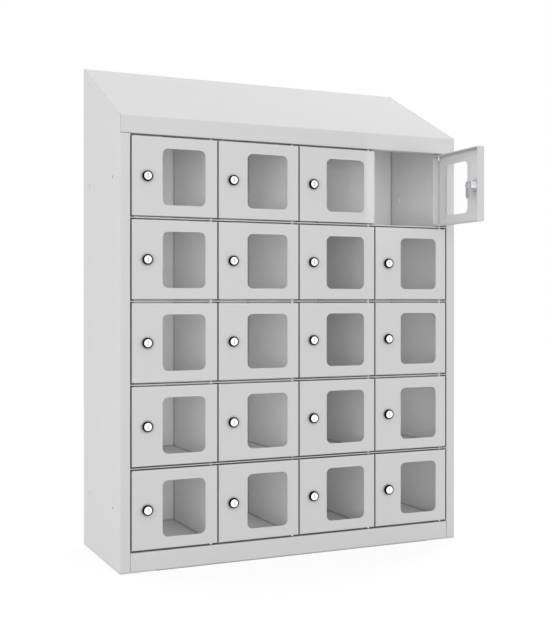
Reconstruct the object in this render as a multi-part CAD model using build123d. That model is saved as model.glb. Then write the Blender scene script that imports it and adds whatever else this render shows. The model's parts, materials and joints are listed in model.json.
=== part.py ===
from build123d import *
import os

# A wall or floor standing locker for phones: a folded sheet-steel cabinet under a sloping hood, with
# twenty windowed doors, each on two pivot pins and with a cam lock of its own.
# Origin: centre of the footprint, on the floor. +X right, +Y to the back, +Z up. Millimetres, degrees.

# Layout
columns = 4
rows = 5
sheet = 1.0                      # thickness of the steel of every folded part
bend = 1.0                       # inside radius of a fold
seam = 0.2                       # clearance where two sheet parts lie beside each other

# Doors
door_width = 151.0
door_height = 132.0
door_depth = 15.0                # from the face of a door to the raw edge of its returns
door_gap = 2.0                   # round a door, to its neighbour, a flange or a shelf
end_gap = 3.0                    # over the top doors and under the bottom doors
open_column = 4                  # the door that stands open
open_row = 1
open_angle = 88.0

# Window of a door
window_height = 94.0
window_radius = 10.0
window_to_hinge_edge = 22.0
window_to_lock = 26.5            # from the axis of the lock to the window
pane_overlap = 8.0
pane_thickness = 2.0

# Hinges
pin_diameter = 4.0
pin_to_hinge_edge = 10.0
pin_behind_face = 7.3
pin_fit = 0.08                   # radial clearance of a pin in a door
pin_below = 12.0                 # reach of a pin under the sheet that holds it
pin_above = 5.0                  # reach of a pin over the sheet that holds it
collar_diameter = 5.2
collar_play = 0.3                # between a collar and the door that it carries
head_diameter = 7.0
head_height = 1.5

# Carcass
cabinet_depth = 240.0
side_flange = 18.0
side_lift = 1.0                  # the side panels end this far over the floor
plinth_height = 33.0
plinth_setback = 0.6
plinth_return_inset = 44.0       # the lower return of the plinth is shorter than its face at each end
lip_depth = 14.6                 # returns that the doors pass over and under
shelf_setback = 1.5              # from the faces of the doors back to the front edge of a shelf
fascia_height = 29.5
hood_rise = 122.5
hood_rear_flange = 20.0
stiffener = 12.0                 # height of the flanges that fix the floor to the sides and the back
back_recess = 10.0               # from the rear edges of the sides to the inner face of the back panel
stop_play = 0.4                  # between a closed door and its stop
stop_overlap = 8.0               # how far a stop reaches behind the free edge of a door
joiner_hole = 5.0
joiner_spacing_y = 154.0
joiner_spacing_z = 554.0
joiner_centre_z = 378.0

# Cam locks
lock_to_free_edge = 26.5
bezel_diameter = 17.4
bezel_height = 5.0
bezel_round = 1.6
barrel_diameter = 16.0
barrel_flats = 13.0
barrel_fit = 0.1                 # clearance of a barrel in the hole of its door
nut_across_flats = 19.0
nut_height = 2.5
plug_face_diameter = 13.2
plug_face_height = 1.4
plug_proud = 0.3
plug_diameter = 9.0
plug_fit = 0.08                  # radial running clearance of a plug in its barrel
key_slot_length = 7.6
key_slot_width = 2.4
key_slot_depth = 1.0
cam_play = 0.3                   # between a stop and the cam behind it
cam_thickness = 1.3
cam_width = 13.0
cam_reach = 25.0
screw_head_diameter = 12.5
screw_head_height = 1.2
screw_diameter = 4.0
screw_length = 6.0
socket_across_flats = 4.0
socket_depth = 0.7

# What follows from those sizes
window_width = door_width - window_to_hinge_edge - window_to_lock - lock_to_free_edge
column_pitch = door_width + door_gap
hem = 2 * sheet
row_pitch = door_height + 2 * door_gap + hem
cabinet_width = 2 * side_flange + columns * column_pitch + door_gap
head_height_z = plinth_height + 2 * end_gap + rows * row_pitch - 2 * door_gap - hem
front_height = head_height_z + fascia_height
rear_height = front_height + hood_rise
half_width = cabinet_width / 2
front_y = -cabinet_depth / 2
rear_y = cabinet_depth / 2
back_y = rear_y - back_recess
inner_half_width = half_width - sheet - seam
opening_half_width = half_width - side_flange
stop_y = front_y + door_depth + stop_play
cam_y = stop_y + sheet + cam_play
lap_y = (stop_y + back_y) / 2    # where the slots of shelves and dividers meet
floor_z = plinth_height - sheet
lock_axis_z = door_height / 2
hood_slope = hood_rise / cabinet_depth
hood_drop = sheet * (1 + hood_slope**2) ** 0.5
pin_radius = pin_diameter / 2
clear = 1.0                      # how far a cutting tool reaches past what it cuts


def door_left(column):
    """X of the free edge of the doors of a column, counted from the left."""
    return -half_width + side_flange + door_gap + (column - 1) * column_pitch


def door_bottom(row):
    """Z of the lower edge of the doors of a row, counted from the top."""
    return plinth_height + end_gap + (rows - row) * row_pitch


def shelf_top(row):
    """Z of the upper face of the shelf under a row."""
    return door_bottom(row) - door_gap


def divider_x(column):
    """X of the middle of the divider on the hinge side of a column."""
    return door_left(column) + door_width + door_gap / 2


def pin_x(column):
    """X of the hinge axis of a column."""
    return door_left(column) + door_width - pin_to_hinge_edge


pin_y = front_y + pin_behind_face


def block(low, high):
    """A box between two corners."""
    size = [b - a for a, b in zip(low, high)]
    middle = [(a + b) / 2 for a, b in zip(low, high)]
    return Pos(*middle) * Box(*size)


def rod(radius, low_z, high_z, x, y):
    """An upright cylinder."""
    return Pos(x, y, (low_z + high_z) / 2) * Cylinder(radius, high_z - low_z)


def cross_rod(radius, low_y, high_y, x, z):
    """A cylinder that lies along Y."""
    return Pos(x, (low_y + high_y) / 2, z) * Rot(90, 0, 0) * Cylinder(radius, high_y - low_y)


def folded_strip(points, radii):
    """The section of a folded sheet: its outer face follows the points, the steel lies on their left."""
    path = FilletPolyline(*points, radius=radii)
    return make_face(offset(path, amount=sheet, side=Side.LEFT))


def extrude_along_x(profile, low_x, high_x):
    """A section drawn in Y and Z, run from one X to another."""
    start = Plane((low_x, 0, 0), x_dir=(0, 1, 0), z_dir=(1, 0, 0))
    return extrude(start * profile, high_x - low_x, dir=(1, 0, 0))


def hood_z(y):
    """Z of the outer face of the hood over a depth."""
    return front_height + (y - front_y) * hood_slope


def side_panel(sign):
    """A side wall with its front flange and a lip along the doors."""
    outer_bend = bend + sheet
    points = [
        (-half_width, rear_y),
        (-half_width, front_y),
        (-opening_half_width, front_y),
        (-opening_half_width, front_y + lip_depth),
    ]
    plan = folded_strip(points, [outer_bend] * 2)
    wall = extrude(Pos(0, 0, side_lift) * plan, rear_height)
    outline = Polygon(
        (front_y, side_lift), (rear_y, side_lift), (rear_y, rear_height), (front_y, front_height),
        align=None,
    )
    wall = wall & extrude_along_x(outline, -half_width, half_width)
    inside = -half_width + sheet
    wall -= block(
        (inside, front_y - clear, head_height_z - seam),
        (half_width, stop_y + 2 * outer_bend, rear_height),
    )
    for y in (-joiner_spacing_y / 2, joiner_spacing_y / 2):
        for z in (-joiner_spacing_z / 2, joiner_spacing_z / 2):
            middle = Pos(-half_width, y, joiner_centre_z + z)
            wall -= middle * Rot(0, 90, 0) * Cylinder(joiner_hole / 2, 4 * sheet)
    return wall if sign < 0 else mirror(wall, about=Plane.YZ)


def door_stop_left():
    """The flat strip behind the free edges of the first column of doors."""
    return block(
        (-inner_half_width, stop_y, plinth_height + seam),
        (-opening_half_width + door_gap + stop_overlap, stop_y + sheet, head_height_z - seam),
    )


def hood():
    """The sloping top, its fascia with the lip that holds the top pins, and its rear flange."""
    outer_bend = bend + sheet
    points = [
        (rear_y, rear_height - hood_rear_flange),
        (rear_y, rear_height),
        (front_y, front_height),
        (front_y, head_height_z),
        (front_y + lip_depth, head_height_z),
    ]
    body = extrude_along_x(folded_strip(points, [outer_bend] * 3), -inner_half_width, inner_half_width)
    return body - pin_holes(head_height_z)


def pin_holes(z):
    """The holes of one row of pins, through the sheet at a height."""
    holes = [rod(pin_radius, z - 2 * hem, z + 2 * hem, pin_x(c), pin_y) for c in range(1, columns + 1)]
    return Compound(children=holes)


def back_panel():
    """A shallow tray: the back wall with its four edges turned to the rear."""
    top = hood_z(back_y) - hood_drop - seam
    rear = rear_y - sheet - bend
    tray = block((-inner_half_width, back_y, 0), (inner_half_width, rear, top))
    return tray - block(
        (-inner_half_width + sheet, back_y + sheet, sheet),
        (inner_half_width - sheet, rear_y, top - sheet),
    )


def deck(top, front, thickness):
    """A flat sheet across the cabinet, narrowed between the front flanges and cut round the first stop."""
    lip_end = front_y + lip_depth
    narrow = opening_half_width - seam
    plate = block((-narrow, front, top - thickness), (narrow, lip_end, top))
    behind = stop_y + sheet + seam
    neck = -narrow + door_gap + stop_overlap + seam
    plate += block((neck, lip_end, top - thickness), (inner_half_width, behind, top))
    plate += block(
        (-inner_half_width, behind, top - thickness), (inner_half_width, back_y, top)
    )
    return plate


def shelf(row):
    """A shelf with a doubled front edge and, from the back, a slot for each divider."""
    top = shelf_top(row)
    narrow = opening_half_width - seam
    edge_y = front_y + shelf_setback
    plate = deck(top, edge_y, sheet)
    nose = block((-narrow, edge_y, top - hem), (narrow, front_y + lip_depth, top))
    nose = fillet(nose.edges().filter_by(Axis.X).group_by(Axis.Y)[0], hem / 2 * 0.9)
    plate = plate - block(
        (-narrow, edge_y, top - hem), (narrow, front_y + lip_depth, top)
    ) + nose
    for column in range(1, columns):
        middle = divider_x(column)
        half_slot = sheet / 2 + seam
        plate -= block(
            (middle - half_slot, lap_y, top - hem), (middle + half_slot, rear_y, top + clear)
        )
    return plate - pin_holes(top - hem / 2)


def divider(column):
    """An upright wall between two columns, slotted from the front for the shelves, with a door stop."""
    middle = divider_x(column)
    low_x, high_x = middle - sheet / 2, middle + sheet / 2
    under = hood_drop + seam
    behind_fascia = front_y + sheet + seam
    over_lip = head_height_z + sheet + head_height + seam
    outline = Polygon(
        (stop_y, floor_z),
        (back_y, floor_z),
        (back_y, hood_z(back_y) - under),
        (behind_fascia, hood_z(behind_fascia) - under),
        (behind_fascia, over_lip),
        (stop_y, over_lip),
        align=None,
    )
    wall = extrude_along_x(outline, low_x, high_x)
    wall += block(
        (low_x, stop_y, plinth_height + seam),
        (middle + door_gap / 2 + stop_overlap, stop_y + sheet, head_height_z - seam),
    )
    for row in range(1, rows):
        top = shelf_top(row)
        wall -= block(
            (low_x - clear, front_y, top - sheet - seam),
            (middle + column_pitch / 2, lap_y, top + seam),
        )
    return wall


def base_panel():
    """The floor of the bottom compartments; its front edge laps under the plinth."""
    plate = deck(floor_z, front_y + plinth_setback + sheet + bend, sheet)
    low, behind = floor_z - stiffener, stop_y + sheet + seam
    for low_x in (-inner_half_width, inner_half_width - sheet):
        plate += block((low_x, behind, low), (low_x + sheet, back_y, floor_z))
    plate += block((-inner_half_width, back_y - sheet, low), (inner_half_width, back_y, floor_z))
    return plate - pin_holes(floor_z)


def plinth_front():
    """The front skirt, with a lip that holds the bottom pins and a shorter return on the floor."""
    face_y = front_y + plinth_setback
    outer_bend = bend + sheet
    points = [
        (front_y + lip_depth, plinth_height),
        (face_y, plinth_height),
        (face_y, 0),
        (front_y + lip_depth, 0),
    ]
    half = opening_half_width - seam
    skirt = extrude_along_x(folded_strip(points, [outer_bend] * 2), -half, half)
    for low_x, high_x in ((-half, -half + plinth_return_inset), (half - plinth_return_inset, half)):
        skirt -= block((low_x, front_y, -clear), (high_x, rear_y, side_lift))
    return skirt - pin_holes(plinth_height)


def shelf_pin(column, row):
    """A double pin through a shelf: hinge of the door over it, with a collar, and of the door below."""
    top = shelf_top(row)
    pin = rod(pin_radius, top - hem - pin_below, top + pin_above, pin_x(column), pin_y)
    collar = rod(collar_diameter / 2, top, top + door_gap - collar_play, pin_x(column), pin_y)
    return pin + collar


def top_pin(column):
    """A pin that hangs by its head from the lip of the fascia."""
    lip_top = head_height_z + sheet
    pin = rod(pin_radius, head_height_z - pin_below, lip_top, pin_x(column), pin_y)
    return pin + rod(head_diameter / 2, lip_top, lip_top + head_height, pin_x(column), pin_y)


def base_pin(column):
    """A pin that stands in the lip of the plinth, with a collar under the bottom door."""
    foot = floor_z - sheet
    pin = rod(pin_radius, foot, plinth_height + end_gap - door_gap + pin_above, pin_x(column), pin_y)
    collar_top = plinth_height + end_gap - collar_play
    pin += rod(collar_diameter / 2, plinth_height, collar_top, pin_x(column), pin_y)
    return pin + rod(head_diameter / 2, foot - head_height, foot, pin_x(column), pin_y)


def door_pan():
    """The folded steel tray of a door, closed, with its lower left corner at X 0 and Z 0."""
    pan = block((0, front_y, 0), (door_width, front_y + door_depth, door_height))
    pan = fillet(pan.faces().sort_by(Axis.Y)[0].edges(), bend + sheet)
    hollow = block(
        (sheet, front_y + sheet, sheet),
        (door_width - sheet, front_y + door_depth + clear, door_height - sheet),
    )
    pan -= fillet(hollow.faces().sort_by(Axis.Y)[0].edges(), bend)
    pan -= window_block(0, front_y - clear, front_y + 2 * sheet + clear)
    hinge_x = door_width - pin_to_hinge_edge
    pan -= rod(pin_radius + pin_fit, -clear, door_height + clear, hinge_x, pin_y)
    return pan - lock_section(barrel_fit, front_y - clear, front_y + 2 * sheet + clear)


def window_block(grow, low_y, high_y):
    """The rounded rectangle of the window, larger all round by grow."""
    middle_x = door_width - window_to_hinge_edge - window_width / 2
    plan = RectangleRounded(window_width + 2 * grow, window_height + 2 * grow, window_radius + grow / 2)
    start = Plane((middle_x, low_y, door_height / 2), x_dir=(1, 0, 0), z_dir=(0, 1, 0))
    return extrude(start * plan, high_y - low_y)


def lock_section(grow, low_y, high_y):
    """The round barrel of a lock with its two flats, larger all round by grow."""
    barrel = cross_rod(barrel_diameter / 2 + grow, low_y, high_y, lock_to_free_edge, lock_axis_z)
    half_flats = barrel_flats / 2 + grow
    return barrel & block(
        (0, low_y, lock_axis_z - half_flats), (2 * lock_to_free_edge, high_y, lock_axis_z + half_flats)
    )


def pane():
    """The clear pane, fixed to the inner face of the door over the window."""
    return window_block(pane_overlap, front_y + sheet, front_y + sheet + pane_thickness)


def lock_housing():
    """The bezel and barrel of a lock, bored for its plug."""
    bezel_y = front_y - bezel_height
    bezel = cross_rod(bezel_diameter / 2, bezel_y, front_y, lock_to_free_edge, lock_axis_z)
    bezel = fillet(bezel.edges().sort_by(Axis.Y)[0], bezel_round)
    housing = bezel + lock_section(0, front_y, stop_y)
    face_radius = plug_face_diameter / 2 + plug_fit
    housing -= cross_rod(
        face_radius, bezel_y - clear, bezel_y + plug_face_height, lock_to_free_edge, lock_axis_z
    )
    return housing - cross_rod(
        plug_diameter / 2 + plug_fit, bezel_y, stop_y + clear, lock_to_free_edge, lock_axis_z
    )


def lock_nut():
    """The hexagonal nut that clamps the barrel to the inner face of the door."""
    low_y = front_y + sheet
    plan = RegularPolygon(nut_across_flats / 2, 6, major_radius=False)
    start = Plane((lock_to_free_edge, low_y, lock_axis_z), x_dir=(1, 0, 0), z_dir=(0, 1, 0))
    nut = extrude(start * plan, nut_height)
    return nut - lock_section(barrel_fit, low_y - clear, low_y + nut_height + clear)


def lock_plug():
    """The turning plug, with a key slot in its face and a thread for the cam screw at its end."""
    face_y = front_y - bezel_height - plug_proud
    shoulder_y = front_y - bezel_height + plug_face_height - plug_fit
    plug = cross_rod(plug_face_diameter / 2, face_y, shoulder_y, lock_to_free_edge, lock_axis_z)
    plug += cross_rod(plug_diameter / 2, face_y, cam_y, lock_to_free_edge, lock_axis_z)
    slot = SlotOverall(key_slot_length, key_slot_width, rotation=90)
    start = Plane((lock_to_free_edge, face_y, lock_axis_z), x_dir=(1, 0, 0), z_dir=(0, 1, 0))
    plug -= extrude(start * slot, key_slot_depth)
    return plug - cross_rod(
        screw_diameter / 2, cam_y - screw_length, cam_y + clear, lock_to_free_edge, lock_axis_z
    )


def lock_cam():
    """The cam, hanging down: the unlocked position."""
    reach = cam_reach - cam_width / 2
    plan = Pos(0, -reach / 2) * SlotCenterToCenter(reach, cam_width, rotation=90)
    start = Plane((lock_to_free_edge, cam_y, lock_axis_z), x_dir=(1, 0, 0), z_dir=(0, -1, 0))
    cam = extrude(start * Rot(180, 0, 0) * plan, cam_thickness)
    hole = cross_rod(
        screw_diameter / 2, cam_y - clear, cam_y + cam_thickness + clear, lock_to_free_edge, lock_axis_z
    )
    return cam - hole


def cam_screw():
    """The socket screw that holds the cam on the plug."""
    seat = cam_y + cam_thickness
    end = seat + screw_head_height
    screw = cross_rod(screw_diameter / 2, seat - screw_length, seat, lock_to_free_edge, lock_axis_z)
    screw += cross_rod(screw_head_diameter / 2, seat, end, lock_to_free_edge, lock_axis_z)
    plan = RegularPolygon(socket_across_flats / 2, 6, major_radius=False)
    start = Plane((lock_to_free_edge, end - socket_depth, lock_axis_z), x_dir=(1, 0, 0), z_dir=(0, 1, 0))
    return screw - extrude(start * plan, 2 * socket_depth)


def hang(piece, column, row):
    """Puts a piece of a door in its place, and turns the door that stands open about its pins."""
    placed = Pos(door_left(column), 0, door_bottom(row)) * piece
    if (column, row) == (open_column, open_row):
        axis = Pos(pin_x(column), pin_y, 0)
        placed = axis * Rot(0, 0, open_angle) * axis.inverse() * placed
    return placed


def save(name, *solids):
    """Writes the solids of one node."""
    node = solids[0] if len(solids) == 1 else Compound(children=list(solids))
    export_step(node, f"parts/{name}.step")


def save_carcass():
    """Every part that stands still."""
    save("side_panel_left", side_panel(-1))
    save("side_panel_right", side_panel(1))
    save("door_stop_left", door_stop_left())
    save("hood", hood())
    save("back_panel", back_panel())
    save("base_panel", base_panel())
    save("plinth_front", plinth_front())
    for row in range(1, rows):
        save(f"shelf_{row}", shelf(row))
    for column in range(1, columns):
        save(f"divider_{column}", divider(column))
    every_column = range(1, columns + 1)
    save("hinge_pins_top", *[top_pin(c) for c in every_column])
    save("hinge_pins_shelves", *[shelf_pin(c, r) for r in range(1, rows) for c in every_column])
    save("hinge_pins_base", *[base_pin(c) for c in every_column])


def save_doors():
    """Every door and lock; the open door keeps its pane and its lock housing in nodes of their own."""
    pan, glazing, housing, nut = door_pan(), pane(), lock_housing(), lock_nut()
    turning = [lock_plug(), lock_cam(), cam_screw()]
    for row in range(1, rows + 1):
        for column in range(1, columns + 1):
            place = f"r{row}c{column}"
            if (column, row) == (open_column, open_row):
                save(f"door_{place}", hang(pan, column, row))
                save(f"pane_{place}", hang(glazing, column, row))
                save(f"lock_housing_{place}", hang(housing, column, row), hang(nut, column, row))
            else:
                fixed = [hang(solid, column, row) for solid in (pan, glazing, housing, nut)]
                save(f"door_{place}", *fixed)
            save(f"lock_{place}", *[hang(solid, column, row) for solid in turning])


os.makedirs("parts", exist_ok=True)
save_carcass()
save_doors()
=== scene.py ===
"""Finish of a twenty-door phone locker: doors, panes, locks, hinge pins, coatings and studio.

Laid out as an add-on and run as a script. Metres; +X right, +Y to the back, +Z up. A door's own axes have
their origin where the axis of its lock meets its face: X towards the hinge, Y into the cabinet, Z up.
"""

import json
import math

import bmesh
import bpy
from bpy.props import FloatProperty, FloatVectorProperty, PointerProperty
from mathutils import Matrix, Vector

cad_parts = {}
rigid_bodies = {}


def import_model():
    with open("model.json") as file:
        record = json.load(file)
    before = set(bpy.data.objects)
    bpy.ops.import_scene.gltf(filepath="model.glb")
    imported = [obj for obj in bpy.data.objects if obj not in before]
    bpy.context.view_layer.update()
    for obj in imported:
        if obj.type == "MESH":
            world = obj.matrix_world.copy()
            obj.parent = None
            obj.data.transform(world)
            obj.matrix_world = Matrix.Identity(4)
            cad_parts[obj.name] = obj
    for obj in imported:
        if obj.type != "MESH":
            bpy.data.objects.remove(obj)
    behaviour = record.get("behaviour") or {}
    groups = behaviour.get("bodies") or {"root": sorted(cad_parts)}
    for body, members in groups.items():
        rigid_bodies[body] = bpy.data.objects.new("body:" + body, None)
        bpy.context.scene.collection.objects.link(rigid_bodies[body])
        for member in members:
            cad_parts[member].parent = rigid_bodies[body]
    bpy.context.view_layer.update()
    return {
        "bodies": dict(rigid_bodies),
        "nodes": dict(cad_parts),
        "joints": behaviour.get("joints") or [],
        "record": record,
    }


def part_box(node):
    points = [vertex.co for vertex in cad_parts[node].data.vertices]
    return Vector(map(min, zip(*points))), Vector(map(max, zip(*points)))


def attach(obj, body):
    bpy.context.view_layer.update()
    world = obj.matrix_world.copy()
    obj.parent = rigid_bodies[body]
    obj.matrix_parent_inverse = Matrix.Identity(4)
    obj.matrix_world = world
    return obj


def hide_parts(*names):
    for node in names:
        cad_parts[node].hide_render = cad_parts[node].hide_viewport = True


bl_info = {
    "name": "Phone Locker Finish",
    "version": (1, 0, 0),
    "blender": (4, 5, 0),
    "location": "3D View > Sidebar > Locker",
    "description": "Builds the doors, locks and pins of a phone locker and finishes every part of it",
    "category": "Object",
}

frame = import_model()

MM = 0.001
CABINET = "cabinet"
JOINTS = {joint["name"]: joint for joint in frame["joints"]}
PLACES = sorted(body.removeprefix("door_") for body in frame["bodies"] if body.startswith("door_"))
CABINET_NODES = frame["record"]["behaviour"]["bodies"][CABINET]
CARCASS = [name for name in CABINET_NODES if not name.startswith("hinge_pins")]
UPRIGHT = Matrix.Rotation(math.radians(90), 4, "X")  # stands a flat outline up, facing the front
FACING_FRONT = Vector((0, -1, 0))
TOP_ROW, LOW_ROW, DIM_COLUMN = "1", "5", "3"  # as in the names of the places

# Mesh work
MERGE = MM / 1000  # points closer than this are one
NEAR = MM / 100  # how far a point may lie off a plane or an axis that it belongs to
SHARP_FOLD = math.radians(30)  # between two faces that are shaded apart
FLAT_FOLD = math.radians(3)  # the same, where one face is FLAT_RATIO times as large as the other
FLAT_RATIO = 4
CORNER_SEGMENTS = 10  # of a rounded corner
FOLD_SEGMENTS = 5  # of a fold in sheet metal
HOLE_SEGMENTS = 24
CAM_SEGMENTS = 40
SLOT_SEGMENTS = 28
TURNED_STEPS = 48
NUT_STEPS = 72
PIN_STEPS = 24
BEZEL_STEPS = 6
LEVEL = 0.99  # least upright share of a level face's normal
NUT_CHAMFER = 0.8  # width of a nut's chamfer, as a share of how far its corners stand out
NUT_SLOPE = 0.6  # height of that chamfer, as a share of its width
BORDER_FOLDS = 3  # width of the strip round a door's face, in fold radii
HALF_SIDE = math.radians(30)  # from the middle of a hexagon's side to its corner

# Finishes
GROUP_TONE = (0.6, 0.6, 0.6, 1.0)  # before a material gives its own
COAT_IOR = 1.42
PANE_IOR = 1.08  # low, so that light leaves the polished edges of a pane
COAT_WAVE = 2.2 * MM  # from one wave of orange peel to the next
COAT_HEIGHT = 0.02 * MM
LACQUER_WAVE = 0.6 * MM
LACQUER_HEIGHT = 0.008 * MM
RING_WIDTH = 0.35 * MM  # of the marks of turning
# Reach and samples of the painted shade that darkens the coats in folds, slits and corners
PAINTED_SHADE_REACH = 4 * MM
PAINTED_SHADE_SAMPLES = 8
SLOT_PAINTED_SHADE = 0.6  # tone of the floor of a key slot, as a share of the nickel's: painted shade of the deep keyway

# Studio
WHITE = (1.0, 1.0, 1.0, 1.0)
FLOOR_REACH = 6  # from the middle of the floor to its edges
STUDIO_LAMPS = {  # place, what it faces, width and height
    "key": ((-1.9, -2.0, 0.3), (0, 0, 0.3), (2.0, 0.6)),
    "side": ((-3.0, 0, 0.6), (0, 0, 0.4), (1.8, 1.8)),
    "top": ((1.3, 0.9, 1.9), (0.1, 0, 0.8), (1.2, 1.2)),
    "right": ((2.2, -2.0, 0.3), (0, 0, 0.3), (2.0, 0.6)),
}
DOOR_LAMP_PLACE = Vector((-165, -88, 0)) * MM  # from the hinge of the open door
DOOR_LAMP_SIZE = (0.14, 0.13)
LAMP_BEHIND_DOOR = 22 * MM  # from the faces of the doors to the lamps of the compartments
COMPARTMENT_SPREAD = math.radians(105)
COMPARTMENT_SHARE = (0.9, 0.85)  # size of a compartment's lamp, as shares of the door's


# Where things are, from the frame

def door_axes(place):
    """The matrix from a door's own axes to the cabinet's, taken from the joint of its lock."""
    joint = JOINTS[f"lock_{place}_turn"]
    inward = Vector(joint["axis"])
    to_hinge = Vector((inward.y, -inward.x, 0))
    turn = Matrix((to_hinge, inward, Vector((0, 0, 1)))).transposed().to_4x4()
    return Matrix.Translation(joint["pos_m"]) @ turn


def hinge_at(place):
    """A point on the hinge axis of a door."""
    return Vector(JOINTS[f"door_{place}_hinge"]["pos_m"])


def hinge_in_door(place):
    """That point in the door's own axes."""
    return door_axes(place).inverted() @ hinge_at(place)


def stands_open(place):
    """True for a door that isn't shut."""
    return abs(JOINTS[f"lock_{place}_turn"]["axis"][0]) > MM


def closed_place():
    """A door that stands shut, with the same axes as the cabinet."""
    return next(place for place in PLACES if not stands_open(place))


def door_corners():
    """The lower left and upper right corners of a door's face, in its own axes."""
    place = closed_place()
    low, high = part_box(f"door_{place}")
    origin = door_axes(place).translation
    return low - origin, high - origin


def grey(level):
    """The linear colour of a display grey between 0 and 255."""
    value = ((level / 255 + 0.055) / 1.055) ** 2.4
    return (value, value, value)


def length(name, description, millimetres):
    """A length property, written in millimetres and kept in metres."""
    return FloatProperty(
        name=name, description=description, default=millimetres * MM, min=0, unit="LENGTH", precision=5
    )


def colour(name, description, default):
    """A colour property in linear values."""
    return FloatVectorProperty(
        name=name, description=description, default=default, subtype="COLOR", min=0, max=1
    )


def strength(name, description, default):
    """A strength that has no upper limit."""
    return FloatProperty(name=name, description=description, default=default, min=0)


def fraction(name, description, default):
    """A strength between none and full."""
    return FloatProperty(name=name, description=description, default=default, min=0, max=1)


# What a user would change

class LockerDoorSizes(bpy.types.PropertyGroup):
    """Sizes of a door and its pane"""

    sheet: length("Sheet", "Thickness of the steel", 1)
    fold: length("Fold radius", "Outside radius of the folds round the face", 2)
    depth: length("Depth", "From the face to the raw edge of the returns", 15)
    raw_edge: length("Raw edge", "How far the cut edges are rounded", 0.15)
    window_to_lock: length("Window to lock", "From the axis of the lock to the window", 26.5)
    window_width: length("Window width", "Width of the window", 76)
    window_height: length("Window height", "Height of the window", 94)
    window_radius: length("Window radius", "Radius of the corners of the window", 10)
    pane_overlap: length("Pane overlap", "How far the pane reaches past the window", 8)
    pane_radius: length("Pane radius", "Radius of the corners of the pane", 14)
    pane_thickness: length("Pane thickness", "Thickness of the clear pane", 2)
    pane_edge: length("Pane edge", "Polished chamfer round the pane", 0.3)
    pane_gap: length("Pane gap", "Air between the back of the door and its pane", 0.05)
    pin_radius: length("Pin radius", "Radius of a hinge pin", 1.98)
    pin_hole_radius: length("Pin hole radius", "Radius of the holes that the pins run in", 2.08)
    collar_radius: length("Collar radius", "Radius of the collar that carries a door", 2.6)
    collar_height: length("Collar height", "Height of that collar", 1.7)
    collar_play: length("Collar play", "Between a collar and the door that it carries", 0.3)
    pin_above: length("Pin above", "Reach of a pin over its shelf", 5)
    pin_below: length("Pin below", "Reach of a pin under its shelf", 14)
    head_radius: length("Pin head radius", "Radius of the riveted head of an end pin", 3.5)
    head_height: length("Pin head height", "Height of the riveted head of an end pin", 1.5)


class LockerLockSizes(bpy.types.PropertyGroup):
    """Sizes of a cam lock"""

    bezel_radius: length("Bezel radius", "Radius of the black bezel", 8.7)
    bezel_height: length("Bezel height", "How far the bezel stands off the door", 5)
    bezel_round: length("Bezel round", "Radius of the outer edge of the bezel", 1.6)
    barrel_radius: length("Barrel radius", "Radius over the thread of the barrel", 8)
    barrel_flats: length("Barrel flats", "Across the two flats of the barrel", 13)
    barrel_length: length("Barrel length", "From the face of the door to the end of the barrel", 15.4)
    thread_pitch: length("Thread pitch", "Pitch of the barrel's thread", 1)
    thread_depth: length("Thread depth", "Depth of the barrel's thread", 0.35)
    nut_flats: length("Nut flats", "Across the flats of the nut", 19)
    nut_height: length("Nut height", "Height of the nut", 2.5)
    fit: length("Fit", "Clearance round the plug and the barrel", 0.08)
    face_radius: length("Face radius", "Radius of the bright face of the plug", 6.6)
    face_seat: length("Face seat", "Depth of the seat of the plug's face in the bezel", 1.4)
    face_proud: length("Face proud", "How far the plug's face stands out of the bezel", 0.3)
    plug_radius: length("Plug radius", "Radius of the body of the plug", 4.5)
    slot_length: length("Key slot length", "Length of the key slot", 7.6)
    slot_width: length("Key slot width", "Width of the key slot", 2.4)
    slot_neck: length("Key slot neck", "How far the sides of the key slot pull in", 0.35)
    slot_depth: length("Key slot depth", "Depth of the key slot", 1)
    cam_at: length("Cam position", "From the face of the door to the cam", 16.7)
    cam_thickness: length("Cam thickness", "Thickness of the cam", 1.3)
    cam_width: length("Cam width", "Width of the cam", 13)
    cam_reach: length("Cam reach", "From the axis to the tip of the cam", 25)
    screw_head_radius: length("Screw head radius", "Radius of the head of the cam's screw", 6.25)
    screw_head_height: length("Screw head height", "Height of that head", 1.2)
    screw_radius: length("Screw radius", "Radius of the cam's screw", 2)
    screw_length: length("Screw length", "Length of the screw under its head", 6)
    socket_flats: length("Socket flats", "Across the flats of the screw's socket", 4)
    socket_depth: length("Socket depth", "Depth of the screw's socket", 0.7)


class LockerColours(bpy.types.PropertyGroup):
    """Colours of the finishes"""

    carcass: colour("Carcass coat", "Powder coat of the carcass", grey(218))
    doors: colour("Door coat", "Powder coat of the doors", grey(218))
    bezel: colour("Bezel", "Black lacquer of the lock bezels", grey(5))
    nickel: colour("Nickel", "Bright nickel of the lock faces", (0.98, 0.98, 0.99))
    zinc: colour("Zinc", "Zinc plate of cams and screws", (0.84, 0.86, 0.90))
    pins: colour("Pins", "Polished steel of the hinge pins", (0.97, 0.97, 0.97))
    pane: colour("Pane", "Clear polycarbonate", (0.99, 0.99, 0.99))
    floor: colour("Floor", "Studio floor", (0.35, 0.35, 0.35))


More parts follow.
